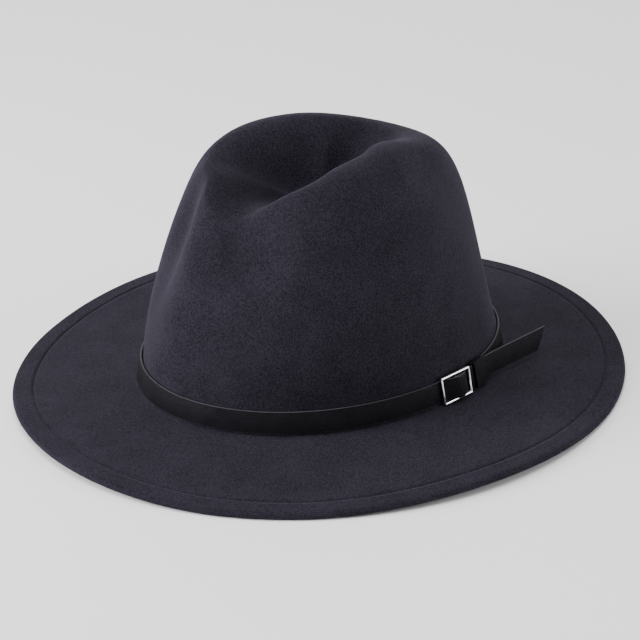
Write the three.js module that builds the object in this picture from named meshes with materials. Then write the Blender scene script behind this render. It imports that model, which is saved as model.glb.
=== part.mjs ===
// A wide-brimmed felt fedora at rest on its brim, in millimetres, +Z up.
// The origin is the middle of the hat on the surface it stands on, the front looks along -Y,
// and the wearer's left side, where the band is buckled, is +X.
// The crown and brim are one blocked felt. A narrow strap runs round the crown, through a metal
// slide buckle and a keeper loop, and its cut end stands out from the crown as a straight tail.
import * as THREE from "three";

// Felt body: overall sizes, read as the outer surface.
const BRIM_LENGTH = 339; // front to back
const BRIM_WIDTH = 307; // side to side
const CROWN_LENGTH = 207.4; // where the crown meets the brim, front to back
const CROWN_WIDTH = 166;
const BRIM_BREAK_HEIGHT = 8.3; // top of the brim where it turns up into the crown
const FELT = 2; // one layer of felt
const TURNED_EDGE = 3.8; // the brim's edge, which is turned under and pressed to two layers
const TURNED_WIDTH = 11; // how far in the turned edge reaches
const PRESSED_LINE = { width: 1.6, depth: 0.6 }; // the line pressed along the turned edge
const BRIM_LIFT = 2.6; // how far the brim's edge rises between the four places where it rests
const REST_SHARE = 0.8; // cosine of four times the angle beyond which the edge lies flat
const BRIM_CURVE = 1.3; // above 1, the brim steepens towards the crown

// Crown: it leans in by this share of its height, and is straight up to the top of the band.
const CROWN_LEAN = 0.22;
const BAND_ZONE = 13;
const BREAK_RADIUS = 3; // the soft corner between brim and crown
const DENT_FLOOR = 90.7; // the middle of the dent on top, above the brim break

// The crown's sections. Angles run from the front to the back, the same on both sides.
// crest is the top edge of the dent: its distance from the middle and its height above the brim
// break. shoulder is how far the rounding reaches outside the crest, and hollow is how far the wall
// is drawn in at half height. lip and floor are how far in the dent keeps the crest's height and
// its floor's, as shares of the crest's distance.
const CROWN_SECTIONS = [
  { angle: 0, crest: 70, height: 114.5, shoulder: 5, hollow: 0, lip: 0.74, floor: 0.26 },
  { angle: 20, crest: 62.5, height: 115, shoulder: 8, hollow: 2, lip: 0.7, floor: 0.26 },
  { angle: 34, crest: 57, height: 116, shoulder: 11, hollow: 4, lip: 0.68, floor: 0.32 },
  { angle: 46, crest: 53, height: 119.6, shoulder: 15, hollow: 2, lip: 0.66, floor: 0.4 },
  { angle: 65, crest: 42, height: 124.7, shoulder: 27, hollow: -3, lip: 0.62, floor: 0.4 },
  { angle: 95, crest: 35, height: 126.7, shoulder: 28, hollow: 0, lip: 0.62, floor: 0.4 },
  { angle: 135, crest: 33, height: 126, shoulder: 28, hollow: 8, lip: 0.62, floor: 0.4 },
  { angle: 180, crest: 49, height: 117.7, shoulder: 46, hollow: 18, lip: 0.65, floor: 0.45 },
];
// The two pinches beside the front, the thumb's on the wearer's left and the fingers' on the right:
// how deep, where, and how wide (degrees) and tall they reach.
const PINCHES = [
  { depth: 5, angle: 22, spread: 12, height: 88, tall: 22 },
  { depth: 9, angle: -13, spread: 10, height: 92, tall: 34 },
];
// Beside the front on the wearer's left the dent on top runs out over its rim into the thumb's
// pinch: where, how wide it reaches to the front and to the side (degrees), how far the rim drops
// there, how much rounder it is, and how the dent rises inside it.
const GULLY = { angle: 15, toFront: 20, toSide: 14, drop: 12.5, rounding: 4, rise: 5 };

// Mesh of the felt: columns round the hat, and rows along each section.
const COLUMNS = 72;
const BRIM_ROWS = 5;
const WALL_ROWS = 12;
const DENT_ROWS = 8;

// Strap, buckle and keeper. Lengths along the strap are measured from the buckle's middle bar,
// onwards round the wearer's left side to the back, and heights of layers from the crown.
const STRAP = { width: 11.5, thickness: 1, bottom: 1.7, play: 0.6 };
const GAP = 0.3; // clearance between pieces that touch
const BUCKLE_ANGLE = 109.2; // from the front, on the wearer's left
const BUCKLE = { length: 21.4, height: 15.2, bar: 1.5, corner: 1.4, edge: 0.35, out: 3, tilt: 4.1 };
const KEEPER = { from: 14, width: 10.5, thickness: 0.8 };
const TAIL_LENGTH = 53; // the free end past the keeper
const TAIL_CUT = 9; // how far the slanted cut sets its lower corner back
const TAIL_TURN = 14; // degrees that the free end bends away from the crown, within TAIL_BEND
const TAIL_BEND = 10;
const TAIL_STEPS = 10;

// The strap's first end is folded back over the middle bar, under the other end.
const FLAP = [
  { along: 5.2, off: 2.35 },
  { along: 2.6, off: 3.6 },
];
// Its first layer lies close to the crown, and stands off where the keeper passes behind it.
const FIRST_LAYER = [
  { along: 3, off: STRAP.play },
  { along: 11.6, off: STRAP.play },
  { along: 14, off: 1.42 },
  { along: 24.5, off: 1.42 },
  { along: 28.8, off: STRAP.play },
];
// Its other end comes back under the buckle's first bar, over the middle one and under the last.
const LAST_LAYER = [
  { along: -11.3, off: STRAP.play },
  { along: -9.1, off: 0.7 },
  { along: -5, off: 3 },
  { along: -1.2, off: 5.1 },
  { along: 0, off: 5.4 },
  { along: 2.6, off: 5 },
  { along: 5.6, off: 3.85 },
  { along: 8.9, off: 2 },
  { along: 11.3, off: 1.95 },
  { along: 14, off: 2.75 },
  { along: 24.5, off: 2.75 },
];

const COLOUR = { felt: 0x2b2932, leather: 0x17171a, metal: 0x9a9a9e };

const degrees = THREE.MathUtils.degToRad;

// Distance of an oval from the middle, at an angle from the front.
function ovalRadius(angle, length, width) {
  return 1 / Math.hypot(Math.sin(angle) / (width / 2), Math.cos(angle) / (length / 2));
}

// One column of a table at any value of its first column, on a smooth curve through the rows.
function curveThrough(rows, key, name, value) {
  const last = rows.length - 1;
  const at = THREE.MathUtils.clamp(value, rows[0][key], rows[last][key]);
  let i = 0;
  while (i < last - 1 && at >= rows[i + 1][key]) i += 1;
  const slope = (k) =>
    k === 0 || k === last
      ? 0
      : (rows[k + 1][name] - rows[k - 1][name]) / (rows[k + 1][key] - rows[k - 1][key]);
  const step = rows[i + 1][key] - rows[i][key];
  const t = (at - rows[i][key]) / step;
  const rise = t * t * (3 - 2 * t);
  return (
    rows[i][name] * (1 - rise) +
    rows[i + 1][name] * rise +
    step * slope(i) * t * (1 - t) ** 2 -
    step * slope(i + 1) * t * t * (1 - t)
  );
}

// Degrees from the front, positive on the wearer's left and negative on the right.
function fromFront(angle) {
  return THREE.MathUtils.euclideanModulo(THREE.MathUtils.radToDeg(angle) + 180, 360) - 180;
}

function sectionValue(angle, name) {
  return curveThrough(CROWN_SECTIONS, "angle", name, Math.abs(fromFront(angle)));
}

// How far the pinches draw in a place on the wall: most at their middles, fading round them.
function pinchDepth(angle, height) {
  return PINCHES.reduce((sum, pinch) => {
    const aside = (fromFront(angle) - pinch.angle) / pinch.spread;
    const above = (height - pinch.height) / pinch.tall;
    return sum + pinch.depth * Math.exp(-aside * aside - above * above);
  }, 0);
}

// Share of the gully's drop at an angle: 1 in its middle, fading to both sides.
function gullyShare(angle) {
  const aside = fromFront(angle) - GULLY.angle;
  return Math.exp(-((aside / (aside > 0 ? GULLY.toSide : GULLY.toFront)) ** 2));
}

// Lift of the brim's edge: none at four resting places, most at the front, back and sides.
function brimLift(angle) {
  const wave = Math.cos(4 * angle) + REST_SHARE;
  return (BRIM_LIFT * Math.max(0, wave)) / (1 + REST_SHARE);
}

// Radius of the crown's wall in the band zone, at a height above the brim break.
function wallRadius(angle, height) {
  return ovalRadius(angle, CROWN_LENGTH, CROWN_WIDTH) - CROWN_LEAN * height;
}

// The outer surface of one section, from the brim's edge to the middle of the dent, as points
// with x the distance from the middle and y the height, and the felt's thickness under each.
function feltSection(angle) {
  const points = [];
  const add = (x, y, under) => points.push({ x, y, under });
  const edge = ovalRadius(angle, BRIM_LENGTH, BRIM_WIDTH);
  const lift = brimLift(angle);
  const round = TURNED_EDGE / 2;

  // The fold at the edge is half round. A negative thickness marks rows mirrored about its middle.
  add(edge, lift + round, 0);
  for (const turn of [35, 90]) {
    const a = degrees(turn);
    add(edge - round * (1 - Math.cos(a)), lift + round * (1 + Math.sin(a)), -1);
  }
  const line = edge - TURNED_WIDTH;
  add(line + PRESSED_LINE.width, lift + TURNED_EDGE, -1);
  add(line, lift + TURNED_EDGE - PRESSED_LINE.depth, FELT);

  // The brim, then the soft corner up into the crown.
  const foot = wallRadius(angle, 0) + BREAK_RADIUS;
  const start = line - PRESSED_LINE.width;
  const brimHeight = (x) => {
    const share = THREE.MathUtils.clamp((edge - x) / (edge - foot), 0, 1) ** BRIM_CURVE;
    return lift + TURNED_EDGE + (BRIM_BREAK_HEIGHT - lift - TURNED_EDGE) * share;
  };
  for (let i = 0; i <= BRIM_ROWS; i += 1) {
    const x = start + ((foot - start) * i) / BRIM_ROWS;
    add(x, brimHeight(x), FELT);
  }
  const base = BRIM_BREAK_HEIGHT;
  const corner = new THREE.QuadraticBezierCurve(
    new THREE.Vector2(foot, base),
    new THREE.Vector2(wallRadius(angle, 0), base),
    new THREE.Vector2(wallRadius(angle, BREAK_RADIUS), base + BREAK_RADIUS),
  );
  corner.getPoints(3).slice(1).forEach((p) => add(p.x, p.y, FELT));

  // The wall above the band zone, over the shoulder to the crest, and down into the dent.
  const crest = sectionValue(angle, "crest");
  const gully = gullyShare(angle);
  const top = sectionValue(angle, "height") - GULLY.drop * gully;
  const shoulder = sectionValue(angle, "shoulder") + GULLY.rounding * gully;
  const foothold = new THREE.Vector2(wallRadius(angle, BAND_ZONE), base + BAND_ZONE);
  const half = BAND_ZONE + 0.45 * (top - BAND_ZONE);
  const wall = new THREE.CubicBezierCurve(
    foothold,
    new THREE.Vector2(foothold.x - sectionValue(angle, "hollow"), base + half),
    new THREE.Vector2(crest + shoulder, base + top),
    new THREE.Vector2(crest, base + top),
  );
  const rim = new THREE.Vector2();
  wall.getPoints(WALL_ROWS).forEach((p) => {
    rim.set(p.x - pinchDepth(angle, p.y), p.y);
    add(rim.x, rim.y, FELT);
  });
  const dent = new THREE.CubicBezierCurve(
    rim,
    new THREE.Vector2(rim.x * sectionValue(angle, "lip"), base + top + GULLY.rise * gully),
    new THREE.Vector2(rim.x * sectionValue(angle, "floor"), base + DENT_FLOOR),
    new THREE.Vector2(0, base + DENT_FLOOR),
  );
  dent.getPoints(DENT_ROWS).slice(1, -1).forEach((p) => add(p.x, p.y, FELT));
  return points;
}

const place = (angle, p) => new THREE.Vector3(p.x * Math.sin(angle), -p.x * Math.cos(angle), p.y);

// Closes a mesh from rings of points, one list a row, between two end points or flat ends.
function geometryOf(vertices, triangles) {
  const geometry = new THREE.BufferGeometry();
  geometry.setAttribute(
    "position",
    new THREE.Float32BufferAttribute(vertices.flatMap((v) => [v.x, v.y, v.z]), 3),
  );
  geometry.setIndex(triangles);
  geometry.computeVertexNormals();
  return geometry;
}

function meshOf(name, geometry, colour, roughness, metalness = 0) {
  const material = new THREE.MeshStandardMaterial({ color: colour, roughness, metalness });
  const mesh = new THREE.Mesh(geometry, material);
  mesh.name = name;
  return mesh;
}

// The felt: the outer surface, and an inner one at the felt's thickness inside it.
function feltBody() {
  const angles = Array.from({ length: COLUMNS }, (_, i) => (2 * Math.PI * i) / COLUMNS);
  const sections = angles.map(feltSection);
  const rows = sections[0].length;
  const outer = sections.map((s, i) => s.map((p) => place(angles[i], p)));
  const middle = new THREE.Vector3(0, 0, BRIM_BREAK_HEIGHT + DENT_FLOOR);

  const inside = (i, j) => {
    const section = sections[i];
    const { x, y, under } = section[j];
    if (under < 0) {
      const mid = section[0].y;
      return place(angles[i], { x, y: 2 * mid - y });
    }
    const around = outer[(i + 1) % COLUMNS][j].clone().sub(outer[(i + COLUMNS - 1) % COLUMNS][j]);
    const ahead = j + 1 < rows ? outer[i][j + 1] : middle;
    const along = ahead.clone().sub(outer[i][j - 1]);
    const normal = around.cross(along).normalize();
    return outer[i][j].clone().addScaledVector(normal, -under);
  };

  const vertices = [];
  const triangles = [];
  const ring = (points) => {
    vertices.push(...points);
    return vertices.length - points.length;
  };
  const join = (a, b) => {
    for (let i = 0; i < COLUMNS; i += 1) {
      const n = (i + 1) % COLUMNS;
      triangles.push(a + i, a + n, b + n, a + i, b + n, b + i);
    }
  };
  // From the middle of the inner side, out to the edge, and back over the outer side.
  const rings = [];
  for (let j = rows - 1; j >= 1; j -= 1) rings.push(ring(angles.map((_, i) => inside(i, j))));
  for (let j = 0; j < rows; j += 1) rings.push(ring(outer.map((column) => column[j])));
  for (let k = 0; k + 1 < rings.length; k += 1) join(rings[k], rings[k + 1]);
  const under = ring([middle.clone().setZ(middle.z - FELT)]);
  const over = ring([middle]);
  for (let i = 0; i < COLUMNS; i += 1) {
    const n = (i + 1) % COLUMNS;
    triangles.push(under, rings[0] + n, rings[0] + i);
    triangles.push(over, rings[rings.length - 1] + i, rings[rings.length - 1] + n);
  }
  return meshOf("felt_body", geometryOf(vertices, triangles), COLOUR.felt, 0.95);
}

// The crown at the middle of the band, as a closed oval measured by its length from the buckle.
const BAND_MIDDLE = STRAP.bottom + STRAP.width / 2;
const oval = (angle) =>
  place(angle, { x: wallRadius(angle, BAND_MIDDLE), y: BRIM_BREAK_HEIGHT + BAND_MIDDLE });
const OVAL_STEPS = 720;
const ovalPoints = Array.from({ length: OVAL_STEPS + 1 }, (_, i) =>
  oval(degrees(BUCKLE_ANGLE) + (2 * Math.PI * i) / OVAL_STEPS),
);
const ovalLengths = ovalPoints.reduce(
  (sums, p, i) => (i ? [...sums, sums[i - 1] + p.distanceTo(ovalPoints[i - 1])] : [0]),
  [],
);
const OVAL_LENGTH = ovalLengths[OVAL_STEPS];

// The point on the oval at a length past the buckle, with three directions there: forward along
// the strap, across it up the leaning wall, and straight out from the wall.
function onOval(length) {
  const at = ((length % OVAL_LENGTH) + OVAL_LENGTH) % OVAL_LENGTH;
  let i = 0;
  while (i < OVAL_STEPS - 1 && ovalLengths[i + 1] < at) i += 1;
  const share = (at - ovalLengths[i]) / (ovalLengths[i + 1] - ovalLengths[i]);
  const point = ovalPoints[i].clone().lerp(ovalPoints[i + 1], share);
  const angle = degrees(BUCKLE_ANGLE) + (2 * Math.PI * (i + share)) / OVAL_STEPS;
  const forward = oval(angle + 0.01).sub(oval(angle - 0.01)).normalize();
  const lean = Math.atan(CROWN_LEAN);
  const outward = new THREE.Vector3(forward.y, -forward.x, 0);
  const out = outward.clone().multiplyScalar(Math.cos(lean)).setZ(Math.sin(lean));
  return { point, forward, out, across: out.clone().cross(forward) };
}

// The middle line of the strap: points, each with the direction across the strap there.
function strapPath() {
  const path = [];
  const lie = (length, off) => {
    const { point, out, across } = onOval(length);
    path.push({ point: point.addScaledVector(out, off + STRAP.thickness / 2), across });
  };
  FLAP.forEach((row) => lie(row.along, row.off));
  const bend = BUCKLE.bar / 2 + GAP + STRAP.thickness / 2;
  for (let turn = 90; turn >= -90; turn -= 30) {
    const [x, z] = [Math.cos(degrees(turn)), Math.sin(degrees(turn))];
    lie(-bend * x, BUCKLE.out + bend * z - STRAP.thickness / 2);
  }
  const layer = (rows, from, to, steps) => {
    for (let i = 0; i <= steps; i += 1) {
      const along = from + ((to - from) * i) / steps;
      lie(along, curveThrough(rows, "along", "off", along));
    }
  };
  layer(FIRST_LAYER, 3, 30, 18);
  layer(FIRST_LAYER, 36, OVAL_LENGTH - 19, 76);
  layer(LAST_LAYER, -13.3, KEEPER.from + KEEPER.width, 27);

  // Past the keeper the free end runs on level, bends a little outwards and stays straight.
  const last = path[path.length - 1];
  const heading = last.point.clone().sub(path[path.length - 2].point).setZ(0).normalize();
  const point = last.point.clone();
  const step = TAIL_LENGTH / TAIL_STEPS;
  for (let i = 1; i <= TAIL_STEPS; i += 1) {
    const bent = TAIL_TURN * Math.min(1, ((i - 0.5) * step) / TAIL_BEND);
    const forward = heading.clone().applyAxisAngle(new THREE.Vector3(0, 0, 1), -degrees(bent));
    point.addScaledVector(forward, step);
    path.push({ point: point.clone(), across: last.across });
  }
  return path;
}

// The strap's flat section swept along its path. Its sections slant towards the slanted last end.
function hatBand() {
  const path = strapPath();
  const end = path.length - 1;
  const corners = [];
  path.forEach(({ point, across }, i) => {
    const before = path[Math.max(0, i - 1)].point;
    const forward = path[Math.min(end, i + 1)].point.clone().sub(before).normalize();
    const face = forward.clone().cross(across).normalize();
    const toEnd = ((end - i) * TAIL_LENGTH) / TAIL_STEPS;
    const cut = TAIL_CUT * Math.max(0, 1 - toEnd / (2 * TAIL_CUT));
    const corner = (a, f) =>
      point
        .clone()
        .addScaledVector(across, (a * STRAP.width) / 2)
        .addScaledVector(face, (f * STRAP.thickness) / 2)
        .addScaledVector(forward, a < 0 ? -cut : 0);
    corners.push(corner(-1, -1), corner(-1, 1), corner(1, 1), corner(1, -1));
  });
  const triangles = [];
  for (let a = 0; a < 4 * end; a += 1) {
    const b = a % 4 === 3 ? a - 3 : a + 1;
    triangles.push(a, b + 4, b, a, a + 4, b + 4);
  }
  const tip = 4 * end;
  triangles.push(0, 1, 2, 0, 2, 3, tip, tip + 2, tip + 1, tip, tip + 3, tip + 2);
  return meshOf("hat_band", geometryOf(corners, triangles), COLOUR.leather, 0.55);
}

// A frame standing on the strap: x runs along the strap, y up its width and z out from the crown.
function seatOnStrap(object, length, off) {
  const { point, forward, out, across } = onOval(length);
  const seat = new THREE.Matrix4().makeBasis(forward, across, out);
  object.geometry.applyMatrix4(seat.setPosition(point.addScaledVector(out, off)));
  return object;
}

// Points of a rectangle about the origin, with its corners rounded in steps.
function roundedRectangle(width, height, radius, steps = 3) {
  const points = [];
  for (let i = 0; i < 4 * (steps + 1); i += 1) {
    const corner = Math.floor(i / (steps + 1));
    const turn = degrees(90 * corner + (90 * (i % (steps + 1))) / steps);
    const x = (corner === 0 || corner === 3 ? 1 : -1) * (width / 2 - radius);
    const y = (corner < 2 ? 1 : -1) * (height / 2 - radius);
    points.push(new THREE.Vector2(x + radius * Math.cos(turn), y + radius * Math.sin(turn)));
  }
  return points;
}

// The cast slide buckle: a frame with a middle bar, one solid, its far side tilted outwards.
function buckle() {
  const { length, height, bar, corner, edge } = BUCKLE;
  const shape = new THREE.Shape(
    roundedRectangle(length - 2 * edge, height - 2 * edge, corner - edge),
  );
  const windowLength = (length - 3 * bar) / 2;
  for (const side of [-1, 1]) {
    const middle = (side * (windowLength + bar)) / 2;
    const opening = roundedRectangle(
      windowLength + 2 * edge,
      height - 2 * bar + 2 * edge,
      2 * edge,
      1,
    );
    shape.holes.push(new THREE.Path(opening.map((p) => p.setX(p.x + middle))));
  }
  const geometry = new THREE.ExtrudeGeometry(shape, {
    depth: bar - 2 * edge,
    bevelThickness: edge,
    bevelSize: edge,
    bevelSegments: 1,
  });
  geometry.translate(0, 0, -bar / 2 + edge);
  geometry.rotateY(-degrees(BUCKLE.tilt));
  return seatOnStrap(meshOf("buckle", geometry, COLOUR.metal, 0.2, 1), 0, BUCKLE.out);
}

// The keeper: a closed leather loop round both layers of the strap.
function keeper() {
  const last = LAST_LAYER[LAST_LAYER.length - 1].off + STRAP.thickness;
  const first = FIRST_LAYER[2].off;
  const inside = [STRAP.width + 2 * GAP, last - first + 2 * GAP];
  const [across, through] = inside.map((size) => size + 2 * KEEPER.thickness);
  const shape = new THREE.Shape(roundedRectangle(across, through, KEEPER.thickness));
  shape.holes.push(new THREE.Path(roundedRectangle(...inside, 0.2, 1)));
  const geometry = new THREE.ExtrudeGeometry(shape, { depth: KEEPER.width, bevelEnabled: false });
  geometry.translate(0, 0, -KEEPER.width / 2);
  geometry.rotateZ(Math.PI / 2);
  geometry.rotateY(Math.PI / 2);
  return seatOnStrap(
    meshOf("keeper_loop", geometry, COLOUR.leather, 0.55),
    KEEPER.from + KEEPER.width / 2,
    (first + last) / 2,
  );
}

const fedora = new THREE.Group();
fedora.add(feltBody(), hatBand(), buckle(), keeper());
export default fedora;
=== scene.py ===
"""A wide-brimmed felt fedora, buckled band and all, resting on its brim on a pale floor.

The front of the hat looks along -Y and the wearer's left, the buckle's side, is +X. The hat's
sizes are in millimetres, and each of its meshes is brought to metres when it is finished. The
view, the floor, the lights and the patterns of the materials are in metres.
"""
import math

import bmesh
import bpy
from mathutils import Matrix, Vector


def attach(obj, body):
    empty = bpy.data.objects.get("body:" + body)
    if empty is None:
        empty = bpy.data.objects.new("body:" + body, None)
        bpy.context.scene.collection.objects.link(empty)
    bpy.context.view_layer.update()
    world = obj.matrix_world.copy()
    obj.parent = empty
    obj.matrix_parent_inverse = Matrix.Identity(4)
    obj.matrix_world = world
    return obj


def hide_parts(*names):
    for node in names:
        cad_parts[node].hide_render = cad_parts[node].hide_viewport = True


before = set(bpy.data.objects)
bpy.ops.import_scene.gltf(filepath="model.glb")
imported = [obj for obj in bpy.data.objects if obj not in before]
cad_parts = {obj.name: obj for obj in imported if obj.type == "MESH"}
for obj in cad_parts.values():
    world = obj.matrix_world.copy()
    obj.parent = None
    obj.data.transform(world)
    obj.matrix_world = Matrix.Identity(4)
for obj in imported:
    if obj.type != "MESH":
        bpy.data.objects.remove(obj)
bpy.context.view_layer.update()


# View. The hat is seen from its front left corner, a little from above, through a long lens,
# as a product photographer frames a hat on a table.

VIEW_AZIMUTH = 55.0
VIEW_ELEVATION = 25.2
VIEW_ROLL = -0.25
VIEW_DISTANCE = 1.2
VIEW_TARGET = Vector((0.0, 0.0, 0.040))
PIXELS_ACROSS = 640
FOCAL_PIXELS = 2251.0
SHIFT_ACROSS_PIXELS, SHIFT_UP_PIXELS = -2.0, -16.6
SENSOR_WIDTH = 36.0
NEAR_LIMIT = 0.05

azimuth, elevation = math.radians(VIEW_AZIMUTH), math.radians(VIEW_ELEVATION)
back = Vector((
    math.sin(azimuth) * math.cos(elevation),
    -math.cos(azimuth) * math.cos(elevation),
    math.sin(elevation),
))
lens = bpy.data.cameras.new("lens")
lens.sensor_width = SENSOR_WIDTH
lens.lens = FOCAL_PIXELS / PIXELS_ACROSS * lens.sensor_width
lens.shift_x = SHIFT_ACROSS_PIXELS / PIXELS_ACROSS
lens.shift_y = SHIFT_UP_PIXELS / PIXELS_ACROSS
lens.clip_start = NEAR_LIMIT
camera = bpy.data.objects.new("camera", lens)
camera.location = VIEW_TARGET + back * VIEW_DISTANCE
roll = Matrix.Rotation(math.radians(VIEW_ROLL), 3, back)
camera.rotation_euler = (roll @ back.to_track_quat("Z", "Y").to_matrix()).to_euler()
bpy.context.scene.collection.objects.link(camera)
bpy.context.scene.camera = camera


# Felt. Crown and brim are one hood of dark wool felt, steamed over a block. The brim's edge is
# turned under and pressed, which leaves a line on top, and the crown is dented and pinched.

MM = 0.001
BRIM_LENGTH, BRIM_WIDTH = 339.0, 307.0
CROWN_LENGTH, CROWN_WIDTH = 207.4, 166.0
BRIM_BREAK_HEIGHT = 8.3
FELT_THICKNESS = 1.85
TURNED_EDGE = 3.8
TURNED_WIDTH = 11.0
PRESSED_DEPTH, PRESSED_WIDTH = 0.6, 0.75
BRIM_LIFT = 2.6
REST_SHARE = 0.8
BRIM_CURVE = 1.3
CROWN_LEAN = 0.22
BAND_ZONE = 13.0
BREAK_RADIUS = 3.0
DENT_FLOOR = 90.7
FELT_COLUMNS = 216
EDGE_STEPS, BRIM_STEPS, BREAK_STEPS, WALL_STEPS, DENT_STEPS = 8, 18, 4, 40, 24

# where the felt's section has its points, under the turned edge and on top, in from the edge
UNDER_INSETS = (TURNED_WIDTH, 10.4, 8.5, 6.0, 3.5)
TOP_INSETS = (3.5, 5.5, 7.5, 9.0, 9.7, 10.2, 10.6, 11.0, 11.4, 11.8, 12.3, 13.2, 15.0)
# heights of its points behind the band, and how far up the wall its hollow lies, as a share
BEHIND_BAND = (6.0, 9.5)
HOLLOW_SHARE = 0.45

# angle from the front, crest radius, crest height, shoulder rounding, hollow of the wall, and how
# far in the dent keeps the crest's height and the floor's, as shares of the crest radius
CROWN_SECTIONS = [
    (0, 70, 114.5, 5, 0, 0.74, 0.26),
    (20, 62.5, 115, 8, 2, 0.70, 0.26),
    (34, 57, 116, 11, 4, 0.68, 0.32),
    (46, 53, 119.6, 15, 2, 0.66, 0.40),
    (65, 42, 124.7, 27, -3, 0.62, 0.40),
    (95, 35, 126.7, 28, 0, 0.62, 0.40),
    (135, 33, 126, 28, 8, 0.62, 0.40),
    (180, 49, 117.7, 46, 18, 0.65, 0.45),
]
# the dents that thumb and fingers leave beside the front, the thumb's on the wearer's left:
# angle, spread, height, reach up and down, depth
PINCHES = [(22, 12, 88, 22, 5), (-13, 10, 92, 34, 9)]
# the top's dent runs out over its rim beside the front on the wearer's left, where it is pinched
GULLY_ANGLE, GULLY_TO_FRONT, GULLY_TO_SIDE = 15.0, 20.0, 14.0
GULLY_DROP, GULLY_ROUNDING, GULLY_RISE = 12.5, 4.0, 5.0


def curve_through(rows, column, value):
    """A table's column at a value of its first column, on a smooth curve through its rows."""
    last = len(rows) - 1
    value = min(max(value, rows[0][0]), rows[last][0])
    i = 0
    while i < last - 1 and value >= rows[i + 1][0]:
        i += 1

    def slope(k):
        if k in (0, last):
            return 0.0
        rise = rows[k + 1][column] - rows[k - 1][column]
        return rise / (rows[k + 1][0] - rows[k - 1][0])

    step = rows[i + 1][0] - rows[i][0]
    t = (value - rows[i][0]) / step
    blend = t * t * (3 - 2 * t)
    return (
        rows[i][column] * (1 - blend)
        + rows[i + 1][column] * blend
        + step * slope(i) * t * (1 - t) ** 2
        - step * slope(i + 1) * t * t * (1 - t)
    )


def oval_radius(angle, length, width):
    return 1 / math.hypot(math.sin(angle) / (width / 2), math.cos(angle) / (length / 2))


def wall_radius(angle, height):
    return oval_radius(angle, CROWN_LENGTH, CROWN_WIDTH) - CROWN_LEAN * height


def bezier(points, t):
    """A point on a Bezier curve of any degree."""
    points = [Vector(p) for p in points]
    while len(points) > 1:
        points = [a.lerp(b, t) for a, b in zip(points, points[1:])]
    return points[0]


def felt_section(angle):
    """The felt's visible side at an angle: under the turned edge, round it, and up to the top."""
    side = (math.degrees(angle) + 180) % 360 - 180
    crest, top, shoulder, hollow, lip, floor = (
        curve_through(CROWN_SECTIONS, column, abs(side)) for column in range(1, 7)
    )
    spread = GULLY_TO_SIDE if side > GULLY_ANGLE else GULLY_TO_FRONT
    gully = math.exp(-(((side - GULLY_ANGLE) / spread) ** 2))
    top -= GULLY_DROP * gully
    shoulder += GULLY_ROUNDING * gully
    edge = oval_radius(angle, BRIM_LENGTH, BRIM_WIDTH)
    lift = BRIM_LIFT * max(0.0, math.cos(4 * angle) + REST_SHARE) / (1 + REST_SHARE)
    fold = TURNED_EDGE / 2
    base = BRIM_BREAK_HEIGHT
    foot = wall_radius(angle, 0) + BREAK_RADIUS
    points = [Vector((edge - inset, lift)) for inset in UNDER_INSETS]
    for step in range(EDGE_STEPS + 1):
        turn = math.pi * step / EDGE_STEPS
        x = edge - fold + fold * math.sin(turn)
        points.append(Vector((x, lift + fold - fold * math.cos(turn))))

    def brim_height(x):
        share = min(max((edge - x) / (edge - foot), 0.0), 1.0) ** BRIM_CURVE
        line = math.exp(-(((edge - x - TURNED_WIDTH) / PRESSED_WIDTH) ** 2))
        top_of_brim = lift + TURNED_EDGE + (base - lift - TURNED_EDGE) * share
        return top_of_brim - PRESSED_DEPTH * line

    for inset in TOP_INSETS:
        points.append(Vector((edge - inset, brim_height(edge - inset))))
    start = edge - TOP_INSETS[-1]
    for step in range(1, BRIM_STEPS + 1):
        x = start + (foot - start) * step / BRIM_STEPS
        points.append(Vector((x, brim_height(x))))
    corner = [
        (foot, base),
        (wall_radius(angle, 0), base),
        (wall_radius(angle, BREAK_RADIUS), base + BREAK_RADIUS),
    ]
    points += [bezier(corner, t / BREAK_STEPS) for t in range(1, BREAK_STEPS + 1)]
    for height in BEHIND_BAND:
        points.append(Vector((wall_radius(angle, height), base + height)))
    wall_foot = wall_radius(angle, BAND_ZONE)
    hollow_height = BAND_ZONE + HOLLOW_SHARE * (top - BAND_ZONE)
    wall = [
        (wall_foot, base + BAND_ZONE),
        (wall_foot - hollow, base + hollow_height),
        (crest + shoulder, base + top),
        (crest, base + top),
    ]
    for t in range(WALL_STEPS + 1):
        x, z = bezier(wall, t / WALL_STEPS)
        for at_side, spread, at_height, reach, depth in PINCHES:
            aside, above = (side - at_side) / spread, (z - at_height) / reach
            x -= depth * math.exp(-aside * aside - above * above)
        points.append(Vector((x, z)))
    crest = points[-1].x
    dent = [
        (crest, base + top),
        (crest * lip, base + top + GULLY_RISE * gully),
        (crest * floor, base + DENT_FLOOR),
        (0, base + DENT_FLOOR),
    ]
    points += [bezier(dent, t / DENT_STEPS) for t in range(1, DENT_STEPS + 1)]
    return points


def finish_piece(name, shape, material, node):
    """Turns a bmesh in millimetres into a smooth object in metres that stands for a CAD node."""
    bmesh.ops.scale(shape, vec=(MM, MM, MM), verts=shape.verts)
    mesh = bpy.data.meshes.new(name)
    shape.to_mesh(mesh)
    shape.free()
    mesh.shade_smooth()
    mesh.materials.append(material)
    piece = bpy.data.objects.new(name, mesh)
    bpy.context.scene.collection.objects.link(piece)
    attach(piece, "root")
    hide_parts(node)
    return piece


def new_material(name):
    """A material with its node tree, Principled shader and Object coordinates to hand."""
    material = bpy.data.materials.new(name)
    material.use_nodes = True
    nodes = material.node_tree.nodes
    coordinates = nodes.new("ShaderNodeTexCoord")
    return material, material.node_tree, nodes["Principled BSDF"], coordinates.outputs["Object"]


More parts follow.
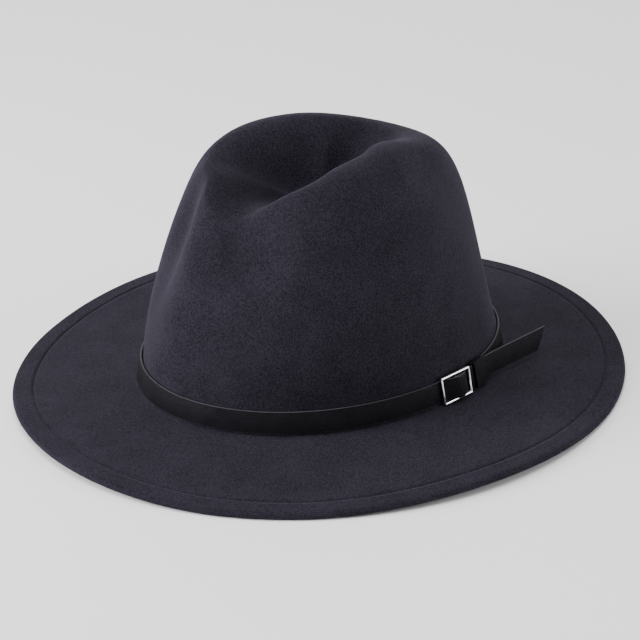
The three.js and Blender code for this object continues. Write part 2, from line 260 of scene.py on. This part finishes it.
def add_node(tree, kind, values=None, **settings):
    """A node with its settings, and with values or links put into its named sockets."""
    node = tree.nodes.new(kind)
    for key, value in settings.items():
        setattr(node, key, value)
    for key, value in (values or {}).items():
        if isinstance(value, bpy.types.NodeSocket):
            tree.links.new(value, node.inputs[key])
        else:
            node.inputs[key].default_value = value
    return node


def noise_field(tree, at, scale, detail=2.0, roughness=0.5, distortion=0.0):
    field = add_node(
        tree, "ShaderNodeTexNoise",
        {"Vector": at, "Scale": scale, "Detail": detail, "Roughness": roughness,
         "Distortion": distortion},
    )
    return field.outputs["Fac"]


def remap(tree, value, low, high, to_low=0.0, to_high=1.0):
    node = add_node(
        tree, "ShaderNodeMapRange",
        {"Value": value, "From Min": low, "From Max": high, "To Min": to_low, "To Max": to_high},
    )
    return node.outputs["Result"]


def combine(tree, operation, a, b):
    return add_node(tree, "ShaderNodeMath", {0: a, 1: b}, operation=operation).outputs[0]


def give_relief(tree, shader, height, distance, strength):
    """Gives a material's surface a relief of a height in metres."""
    bump = add_node(
        tree, "ShaderNodeBump", {"Height": height, "Distance": distance, "Strength": strength},
    )
    tree.links.new(bump.outputs["Normal"], shader.inputs["Normal"])


def blend_colours(tree, share, first, second):
    node = add_node(tree, "ShaderNodeMix", data_type="RGBA")
    for socket, value in ((0, share), (6, first), (7, second)):
        if isinstance(value, bpy.types.NodeSocket):
            tree.links.new(value, node.inputs[socket])
        else:
            node.inputs[socket].default_value = value
    return node.outputs[2]


FELT_DARK, FELT_LIGHT = (0.0070, 0.0060, 0.0098, 1), (0.0275, 0.0248, 0.0350, 1)
FELT_SHEEN = (0.78, 0.74, 1.0, 1)
CLOUD_SCALE, MOTTLE_SCALE, FIBRE_SCALE, CRINKLE_SCALE = 45, 1100, 2200, 850
# in metres: where the thumb crushed the felt, how far round it, and how high the nap stands
CRUSHED_PLACE = (0.025, -0.068, 0.097)
CRUSHED_INNER, CRUSHED_OUTER = 0.010, 0.028
NAP_HEIGHT = 0.0006

felt_material, tree, shader, at = new_material("charcoal_wool_felt")
clouds = noise_field(tree, at, CLOUD_SCALE, 3, 0.55)
mottle = noise_field(tree, at, MOTTLE_SCALE, 4, 0.65)
fibres = noise_field(tree, at, FIBRE_SCALE, 4, 0.75, 1.2)
speckle = combine(tree, "ADD", combine(tree, "MULTIPLY", mottle, 0.45),
                  combine(tree, "MULTIPLY", fibres, 0.45))
shade = combine(tree, "ADD", speckle, combine(tree, "MULTIPLY", clouds, 0.10))
felt_colour = blend_colours(tree, remap(tree, shade, 0.42, 0.58), FELT_DARK, FELT_LIGHT)
tree.links.new(felt_colour, shader.inputs["Base Color"])
shader.inputs["Roughness"].default_value = 0.95
shader.inputs["Specular IOR Level"].default_value = 0.06
shader.inputs["Sheen Weight"].default_value = 0.10
shader.inputs["Sheen Roughness"].default_value = 0.22
shader.inputs["Sheen Tint"].default_value = FELT_SHEEN
nap = combine(tree, "ADD", combine(tree, "MULTIPLY", mottle, 0.6),
              combine(tree, "MULTIPLY", fibres, 0.4))
# where the thumb pinched it, the felt is crushed into fine level crinkles
from_pinch = add_node(
    tree, "ShaderNodeVectorMath", {0: at, 1: CRUSHED_PLACE}, operation="DISTANCE",
).outputs["Value"]
flattened = add_node(tree, "ShaderNodeMapping", {"Vector": at, "Scale": (0.6, 0.6, 1.8)})
crinkles = noise_field(tree, flattened.outputs["Vector"], CRINKLE_SCALE, 3, 0.6, 0.8)
how_crushed = remap(tree, from_pinch, CRUSHED_INNER, CRUSHED_OUTER, 1.6, 0.0)
surface = combine(tree, "ADD", nap, combine(tree, "MULTIPLY", crinkles, how_crushed))
give_relief(tree, shader, surface, NAP_HEIGHT, 0.8)

felt = bmesh.new()
row_layer = felt.verts.layers.int.new("row")
rows = len(felt_section(0.0))
line = [felt.verts.new((0, row - rows + 1, 0)) for row in range(rows)]
for row, vert in enumerate(line):
    vert[row_layer] = row
spokes = [felt.edges.new(pair) for pair in zip(line, line[1:])]
bmesh.ops.spin(
    felt, geom=line + spokes, cent=(0, 0, 0), axis=(0, 0, 1), dvec=(0, 0, 0),
    angle=2 * math.pi, steps=FELT_COLUMNS, use_merge=True, use_duplicate=False,
)
bmesh.ops.remove_doubles(felt, verts=felt.verts, dist=0.0001)
sections = {}
for vert in felt.verts:
    angle = math.atan2(vert.co.x, -vert.co.y) if vert.co.length > 0.01 else 0.0
    column = round(angle / (2 * math.pi) * FELT_COLUMNS) % FELT_COLUMNS
    if column not in sections:
        sections[column] = felt_section(2 * math.pi * column / FELT_COLUMNS)
    reach, height = sections[column][vert[row_layer]]
    turn = 2 * math.pi * column / FELT_COLUMNS
    vert.co = (reach * math.sin(turn), -reach * math.cos(turn), height)
bmesh.ops.recalc_face_normals(felt, faces=felt.faces)
top_face = max(felt.faces, key=lambda face: face.calc_center_median().z)
if top_face.normal.z < 0:
    bmesh.ops.reverse_faces(felt, faces=felt.faces)
hood = finish_piece("felt_hood", felt, felt_material, "felt_body")
wall = hood.modifiers.new("felt", "SOLIDIFY")
wall.thickness = FELT_THICKNESS * MM
wall.offset = -1.0


# Band. A strip of thin black grained leather lies round the foot of the crown. One end is folded
# back over the buckle's middle bar, the other is threaded through and stands out as a tail.

STRAP_WIDTH, STRAP_THICKNESS, STRAP_BOTTOM = 11.5, 1.0, 1.7
STRAP_CORNER = 0.32
STRAP_PLAY = 0.6
CLEARANCE = 0.3
CLOSE = 0.1
BUCKLE_ANGLE = 109.2
BUCKLE_BAR, BUCKLE_OUT = 1.5, 3.0
KEEPER_FROM, KEEPER_WIDTH = 14.0, 10.5
TAIL_LENGTH, TAIL_CUT = 53.0, 9.0
TAIL_TURN, TAIL_BEND = 14.0, 10.0
STRAP_MIDDLE = STRAP_BOTTOM + STRAP_WIDTH / 2
INNER_LAYER, OUTER_LAYER = 1.42, 2.75
OVAL_STEPS = 1440
TAIL_STEPS = 40

# length from the middle bar, height of the strap's inner side over the crown
FLAP = [(5.2, 2.35), (2.6, 3.6)]
FIRST_LAYER = [
    (3, STRAP_PLAY), (11.6, STRAP_PLAY), (14, INNER_LAYER), (24.5, INNER_LAYER),
    (28.8, STRAP_PLAY),
]
LAST_LAYER = [
    (-11.3, STRAP_PLAY), (-9.1, 0.7), (-5, 3.0), (-1.2, 5.1), (0, 5.4), (2.6, 5.0),
    (5.6, 3.85), (8.9, 2.0), (11.3, 1.95), (14, OUTER_LAYER), (24.5, OUTER_LAYER),
]


def oval_point(angle):
    reach = wall_radius(angle, STRAP_MIDDLE)
    return Vector((
        reach * math.sin(angle), -reach * math.cos(angle), BRIM_BREAK_HEIGHT + STRAP_MIDDLE,
    ))


oval_angles = [
    math.radians(BUCKLE_ANGLE) + math.tau * i / OVAL_STEPS for i in range(OVAL_STEPS + 1)
]
oval_lengths = [0.0]
for start_angle, end_angle in zip(oval_angles, oval_angles[1:]):
    step = (oval_point(end_angle) - oval_point(start_angle)).length
    oval_lengths.append(oval_lengths[-1] + step)
OVAL_LENGTH = oval_lengths[-1]


def on_oval(length):
    """A place on the crown at a length past the buckle: point, forward, up the wall, outwards."""
    at_length = length % OVAL_LENGTH
    low, high = 0, OVAL_STEPS
    while high - low > 1:
        mid = (low + high) // 2
        if oval_lengths[mid] <= at_length:
            low = mid
        else:
            high = mid
    share = (at_length - oval_lengths[low]) / (oval_lengths[high] - oval_lengths[low])
    angle = oval_angles[low] + (oval_angles[high] - oval_angles[low]) * share
    forward = (oval_point(angle + 0.01) - oval_point(angle - 0.01)).normalized()
    lean = math.atan(CROWN_LEAN)
    out = Vector((forward.y, -forward.x, 0)) * math.cos(lean) + Vector((0, 0, math.sin(lean)))
    return oval_point(angle), forward, out.cross(forward), out


strap_path = []


def lie(length, off):
    """Lays the strap's next point at a length past the buckle and a height over the crown."""
    point, _, across, out = on_oval(length)
    strap_path.append((point + out * (off + STRAP_THICKNESS / 2), across))


def lay(rows, start, end, steps):
    """Lays one layer of the strap, at the heights in its table, from one length to another."""
    for i in range(steps + 1):
        length = start + (end - start) * i / steps
        lie(length, curve_through(rows, 1, length))


# the folded end, the fold round the bar, the way round the crown, and the threaded end
for length, off in FLAP:
    lie(length, off)
bend = BUCKLE_BAR / 2 + CLEARANCE + STRAP_THICKNESS / 2
for turn in range(90, -91, -15):
    x, z = math.cos(math.radians(turn)), math.sin(math.radians(turn))
    lie(-bend * x, BUCKLE_OUT + bend * z - STRAP_THICKNESS / 2)
# for each stretch of the strap: its table, its ends as lengths past the buckle, and its steps
stretches = [
    (FIRST_LAYER, 3, 30, 27),
    (FIRST_LAYER, 33, OVAL_LENGTH - 16, 200),
    (LAST_LAYER, -13.3, KEEPER_FROM + KEEPER_WIDTH, 72),
]
for table, start, end, steps in stretches:
    lay(table, start, end, steps)
# the tail bends away from the crown just past the keeper and runs on straight
tail_point, last_across = strap_path[-1]
heading = tail_point - strap_path[-2][0]
heading.z = 0
heading.normalize()
tail_step = TAIL_LENGTH / TAIL_STEPS
for i in range(TAIL_STEPS):
    bent = math.radians(TAIL_TURN) * min(1.0, (i + 0.5) * tail_step / TAIL_BEND)
    tail_point = tail_point + Matrix.Rotation(-bent, 3, "Z") @ heading * tail_step
    strap_path.append((tail_point, last_across))

# the darker leather colour is painted shade in the grain's creases; the edge colour below it is
# partly a painted highlight
LEATHER_CREASE_SHADE, LEATHER_LIGHT = (0.0022, 0.0021, 0.0034, 1), (0.0086, 0.0081, 0.0116, 1)
LEATHER_EDGE_AND_HIGHLIGHT = (0.062, 0.058, 0.068, 1)
PEBBLE_SCALE, PORE_SCALE, STAIN_SCALE = 900, 2600, 120
GRAIN_HEIGHT = 0.0003

strap_material, tree, shader, at = new_material("black_grained_leather")
pebbles = add_node(
    tree, "ShaderNodeTexVoronoi", {"Vector": at, "Scale": PEBBLE_SCALE, "Randomness": 1.0},
    feature="DISTANCE_TO_EDGE",
).outputs["Distance"]
creases = remap(tree, pebbles, 0.0, 0.12)
pores = noise_field(tree, at, PORE_SCALE, 3, 0.6)
stains = noise_field(tree, at, STAIN_SCALE, 3, 0.55)
# the grain's creases are painted darker, which is painted shade, and the stains vary the tone of
# the pebble tops
crease_shade_and_stains = combine(tree, "MULTIPLY", creases, remap(tree, stains, 0.35, 0.65, 0.5, 1.0))
grain_with_crease_shade = blend_colours(tree, crease_shade_and_stains, LEATHER_CREASE_SHADE, LEATHER_LIGHT)
# the strip's cut edges are coloured lighter, partly the raw edge's own tone and partly a painted
# highlight where they catch the light
raw_edge_and_highlight = add_node(tree, "ShaderNodeAttribute", attribute_name="raw_edge_and_highlight").outputs["Fac"]
strap_colour = blend_colours(tree, raw_edge_and_highlight, grain_with_crease_shade, LEATHER_EDGE_AND_HIGHLIGHT)
tree.links.new(strap_colour, shader.inputs["Base Color"])
tree.links.new(remap(tree, stains, 0.3, 0.7, 0.42, 0.58), shader.inputs["Roughness"])
shader.inputs["Specular IOR Level"].default_value = 0.07
grain = combine(tree, "ADD", combine(tree, "MULTIPLY", creases, 0.75),
                combine(tree, "MULTIPLY", pores, 0.25))
give_relief(tree, shader, grain, GRAIN_HEIGHT, 0.8)


def strap_corners():
    """The strap's section, as places across its width and through it, round its outline."""
    half_width, half_height = STRAP_WIDTH / 2, STRAP_THICKNESS / 2
    corners = []
    for sx, sz, first in ((1, 1, 0), (-1, 1, 90), (-1, -1, 180), (1, -1, 270)):
        for turn in (first, first + 45, first + 90):
            x = sx * (half_width - STRAP_CORNER)
            z = sz * (half_height - STRAP_CORNER)
            x += STRAP_CORNER * math.cos(math.radians(turn))
            z += STRAP_CORNER * math.sin(math.radians(turn))
            corners.append((x, z))
    return corners


strap = bmesh.new()
edge_layer = strap.verts.layers.float.new("raw_edge_and_highlight")
corners = strap_corners()
ring = []
for i, (point, across) in enumerate(strap_path):
    before = strap_path[max(0, i - 1)][0]
    after = strap_path[min(len(strap_path) - 1, i + 1)][0]
    forward = (after - before).normalized()
    face = forward.cross(across).normalized()
    to_end = (len(strap_path) - 1 - i) * tail_step
    cut = TAIL_CUT * max(0.0, 1 - to_end / (2 * TAIL_CUT))
    places = [
        point + across * x + face * z - forward * cut * (0.5 - x / STRAP_WIDTH)
        for x, z in corners
    ]
    if not ring:
        ring = [strap.verts.new(place) for place in places]
        edges = [strap.edges.new((a, b)) for a, b in zip(ring, ring[1:] + ring[:1])]
        strap.faces.new(ring)
        continue
    extruded = bmesh.ops.extrude_edge_only(strap, edges=edges)["geom"]
    new_verts = [v for v in extruded if isinstance(v, bmesh.types.BMVert)]
    new_ring = []
    for old in ring:
        mate = min(new_verts, key=lambda v: (v.co - old.co).length_squared)
        new_verts.remove(mate)
        new_ring.append(mate)
    for vert, place in zip(new_ring, places):
        vert.co = place
    edges = [strap.edges.get((a, b)) for a, b in zip(new_ring, new_ring[1:] + new_ring[:1])]
    ring = new_ring
strap.faces.new(ring)
# marks the strap's side faces for their lighter colour, which is partly a painted highlight
on_edge = [abs(x) > STRAP_WIDTH / 2 - CLOSE for x, _ in corners]
for i, vert in enumerate(strap.verts):
    vert[edge_layer] = float(on_edge[i % len(corners)])
bmesh.ops.recalc_face_normals(strap, faces=strap.faces)
finish_piece("leather_band", strap, strap_material, "hat_band")


# Buckle. A small cast frame with a middle bar, polished and chromed, that the strap is folded
# round and threaded through. It lies on the strap, its far side tilted a little outwards.

BUCKLE_LENGTH, BUCKLE_HEIGHT, BUCKLE_TILT = 21.4, 15.2, 4.1
BUCKLE_CORNER, BUCKLE_EDGE = 1.2, 0.68
BUCKLE_COLUMNS, BUCKLE_ROWS = 5, 3
SHARP = math.radians(50)
CHROME_DARK, CHROME_LIGHT = (0.62, 0.62, 0.64, 1), (0.74, 0.74, 0.76, 1)
SMEAR_SCALE, RIPPLE_SCALE = 260, 500
RIPPLE_HEIGHT = 0.00003

chrome_material, tree, shader, at = new_material("polished_chrome")
smears = noise_field(tree, at, SMEAR_SCALE, 3, 0.6)
tree.links.new(remap(tree, smears, 0.35, 0.7, 0.04, 0.13), shader.inputs["Roughness"])
chrome_colour = blend_colours(tree, remap(tree, smears, 0.4, 0.65), CHROME_DARK, CHROME_LIGHT)
tree.links.new(chrome_colour, shader.inputs["Base Color"])
shader.inputs["Metallic"].default_value = 1.0
give_relief(tree, shader, noise_field(tree, at, RIPPLE_SCALE, 2, 0.5), RIPPLE_HEIGHT, 0.5)


def seat_on_strap(shape, length, off):
    """Turns a shape made flat, x along the strap and z outwards, onto its place on the band."""
    point, forward, across, out = on_oval(length)
    seat = Matrix((forward, across, out)).transposed().to_4x4()
    seat.translation = point + out * off
    bmesh.ops.transform(shape, matrix=seat, verts=shape.verts)


buckle = bmesh.new()
bmesh.ops.create_grid(
    buckle, x_segments=BUCKLE_COLUMNS, y_segments=BUCKLE_ROWS, size=0.5,
)
column_places = [
    -BUCKLE_LENGTH / 2, -BUCKLE_LENGTH / 2 + BUCKLE_BAR, -BUCKLE_BAR / 2,
    BUCKLE_BAR / 2, BUCKLE_LENGTH / 2 - BUCKLE_BAR, BUCKLE_LENGTH / 2,
]
row_places = [
    -BUCKLE_HEIGHT / 2, -BUCKLE_HEIGHT / 2 + BUCKLE_BAR,
    BUCKLE_HEIGHT / 2 - BUCKLE_BAR, BUCKLE_HEIGHT / 2,
]
for vert in buckle.verts:
    vert.co.x = column_places[round((vert.co.x + 0.5) * BUCKLE_COLUMNS)]
    vert.co.y = row_places[round((vert.co.y + 0.5) * BUCKLE_ROWS)]
windows = [
    face for face in buckle.faces
    if abs(face.calc_center_median().y) < 1 and 1 < abs(face.calc_center_median().x) < 8
]
bmesh.ops.delete(buckle, geom=windows, context="FACES")
lifted = bmesh.ops.extrude_face_region(buckle, geom=buckle.faces[:])["geom"]
lifted_verts = [v for v in lifted if isinstance(v, bmesh.types.BMVert)]
bmesh.ops.translate(buckle, vec=(0, 0, BUCKLE_BAR), verts=lifted_verts)
bmesh.ops.translate(buckle, vec=(0, 0, -BUCKLE_BAR / 2), verts=buckle.verts)
bmesh.ops.recalc_face_normals(buckle, faces=buckle.faces)
upright = [
    edge for edge in buckle.edges
    if abs(edge.verts[0].co.z - edge.verts[1].co.z) > 1
    and abs(edge.verts[0].co.x) > BUCKLE_LENGTH / 2 - CLOSE
    and abs(edge.verts[0].co.y) > BUCKLE_HEIGHT / 2 - CLOSE
]
bmesh.ops.bevel(
    buckle, geom=upright, offset=BUCKLE_CORNER, segments=5, profile=0.5, affect="EDGES",
    material=-1,
)
rims = [edge for edge in buckle.edges if edge.calc_face_angle(0) > SHARP]
bmesh.ops.bevel(
    buckle, geom=rims, offset=BUCKLE_EDGE, segments=5, profile=0.5, affect="EDGES",
    material=-1,
)
tilt = Matrix.Rotation(math.radians(-BUCKLE_TILT), 4, "Y")
bmesh.ops.transform(buckle, matrix=tilt, verts=buckle.verts)
seat_on_strap(buckle, 0, BUCKLE_OUT)
bmesh.ops.recalc_face_normals(buckle, faces=buckle.faces)
finish_piece("chrome_buckle", buckle, chrome_material, "buckle")


# Keeper. A short loop of the same leather, closed behind the strap, holds its two layers flat
# just past the buckle, before the tail leaves the crown.

KEEPER_THICKNESS = 0.8
KEEPER_CORNER, KEEPER_EDGE = 0.7, 0.2

keeper = bmesh.new()
inner_height = STRAP_WIDTH + 2 * CLEARANCE
inner_depth = OUTER_LAYER + STRAP_THICKNESS - INNER_LAYER + 2 * CLEARANCE
bmesh.ops.create_grid(keeper, x_segments=1, y_segments=1, size=0.5)
outer_height = inner_height + 2 * KEEPER_THICKNESS
outer_depth = inner_depth + 2 * KEEPER_THICKNESS
bmesh.ops.scale(keeper, vec=(outer_height, outer_depth, 1), verts=keeper.verts)
bmesh.ops.inset_individual(keeper, faces=keeper.faces[:], thickness=KEEPER_THICKNESS)
middle_faces = [f for f in keeper.faces if f.calc_center_median().length < 0.01]
bmesh.ops.delete(keeper, geom=middle_faces, context="FACES")
lifted = bmesh.ops.extrude_face_region(keeper, geom=keeper.faces[:])["geom"]
lifted_verts = [v for v in lifted if isinstance(v, bmesh.types.BMVert)]
bmesh.ops.translate(keeper, vec=(0, 0, KEEPER_WIDTH), verts=lifted_verts)
bmesh.ops.translate(keeper, vec=(0, 0, -KEEPER_WIDTH / 2), verts=keeper.verts)
bmesh.ops.recalc_face_normals(keeper, faces=keeper.faces)
outer_corners = [
    edge for edge in keeper.edges
    if abs(edge.verts[0].co.z - edge.verts[1].co.z) > 1
    and abs(edge.verts[0].co.x) > inner_height / 2 + CLOSE
]
bmesh.ops.bevel(
    keeper, geom=outer_corners, offset=KEEPER_CORNER, segments=4, profile=0.5, affect="EDGES",
    material=-1,
)
rims = [
    edge for edge in keeper.edges
    if edge.calc_face_angle(0) > SHARP
    and abs(edge.verts[0].co.z - edge.verts[1].co.z) < CLOSE
]
bmesh.ops.bevel(
    keeper, geom=rims, offset=KEEPER_EDGE, segments=2, profile=0.5, affect="EDGES",
    material=-1,
)
stand = Matrix(((0, 0, 1, 0), (1, 0, 0, 0), (0, 1, 0, 0), (0, 0, 0, 1)))
bmesh.ops.transform(keeper, matrix=stand, verts=keeper.verts)
keeper_off = (OUTER_LAYER + STRAP_THICKNESS + INNER_LAYER) / 2
seat_on_strap(keeper, KEEPER_FROM + KEEPER_WIDTH / 2, keeper_off)
bmesh.ops.recalc_face_normals(keeper, faces=keeper.faces)
finish_piece("leather_keeper", keeper, strap_material, "keeper_loop")


# Floor and light. A pale seamless floor under four soft boxes: the strongest stands at the front
# of the hat, to the left of the view, a weaker one to its right, one above and one behind.

FLOOR_REACH = 3.0
FLOOR_COLOUR = (0.93, 0.93, 0.93, 1)
ROOM_AHEAD, ROOM_BEHIND = 0.62, 0.06
LIGHT_AIM_HEIGHT = 0.06

floor_shape = bmesh.new()
bmesh.ops.create_grid(floor_shape, x_segments=1, y_segments=1, size=FLOOR_REACH)
floor_mesh = bpy.data.meshes.new("floor")
floor_shape.to_mesh(floor_mesh)
floor_shape.free()
floor = bpy.data.objects.new("floor", floor_mesh)
bpy.context.scene.collection.objects.link(floor)
floor_material, _, shader, _ = new_material("white_paper")
shader.inputs["Base Color"].default_value = FLOOR_COLOUR
shader.inputs["Roughness"].default_value = 0.9
floor_mesh.materials.append(floor_material)

world = bpy.data.worlds.new("white_studio")
world.use_nodes = True
world.node_tree.nodes["Background"].inputs["Color"].default_value = (1.0, 1.0, 1.0, 1)
bpy.context.scene.world = world
# the room is darker behind the photographer, which the chrome shows, and white as a backdrop
tree = world.node_tree
direction = add_node(tree, "ShaderNodeTexCoord").outputs["Generated"]
to_room = add_node(
    tree, "ShaderNodeVectorMath", {0: direction, 1: tuple(back)}, operation="DOT_PRODUCT",
).outputs["Value"]
backdrop = add_node(tree, "ShaderNodeLightPath").outputs["Is Camera Ray"]
room = remap(tree, to_room, 0.2, 0.9, ROOM_AHEAD, ROOM_BEHIND)
brightness = combine(tree, "MAXIMUM", room, backdrop)
tree.links.new(brightness, tree.nodes["Background"].inputs["Strength"])


def soft_box(name, sideways, forward, height, size, power):
    """A square light that looks at the hat, placed as seen from the camera."""
    view_right = Vector((math.cos(azimuth), math.sin(azimuth), 0.0))
    level_back = Vector((back.x, back.y, 0)).normalized()
    light = bpy.data.lights.new(name, "AREA")
    light.shape = "SQUARE"
    light.size = size
    light.energy = power
    box = bpy.data.objects.new(name, light)
    box.location = view_right * sideways + level_back * forward + Vector((0, 0, height))
    aim = box.location - Vector((0, 0, LIGHT_AIM_HEIGHT))
    box.rotation_euler = aim.to_track_quat("Z", "Y").to_euler()
    bpy.context.scene.collection.objects.link(box)


soft_box("key_light", -1.57, 0.40, 0.62, 1.2, 62)
soft_box("fill_light", 1.6, 0.3, 0.4, 1.0, 20)
soft_box("top_light", -0.2, 0.2, 1.7, 1.2, 24)
soft_box("back_light", 0.3, -1.5, 0.8, 1.2, 8)
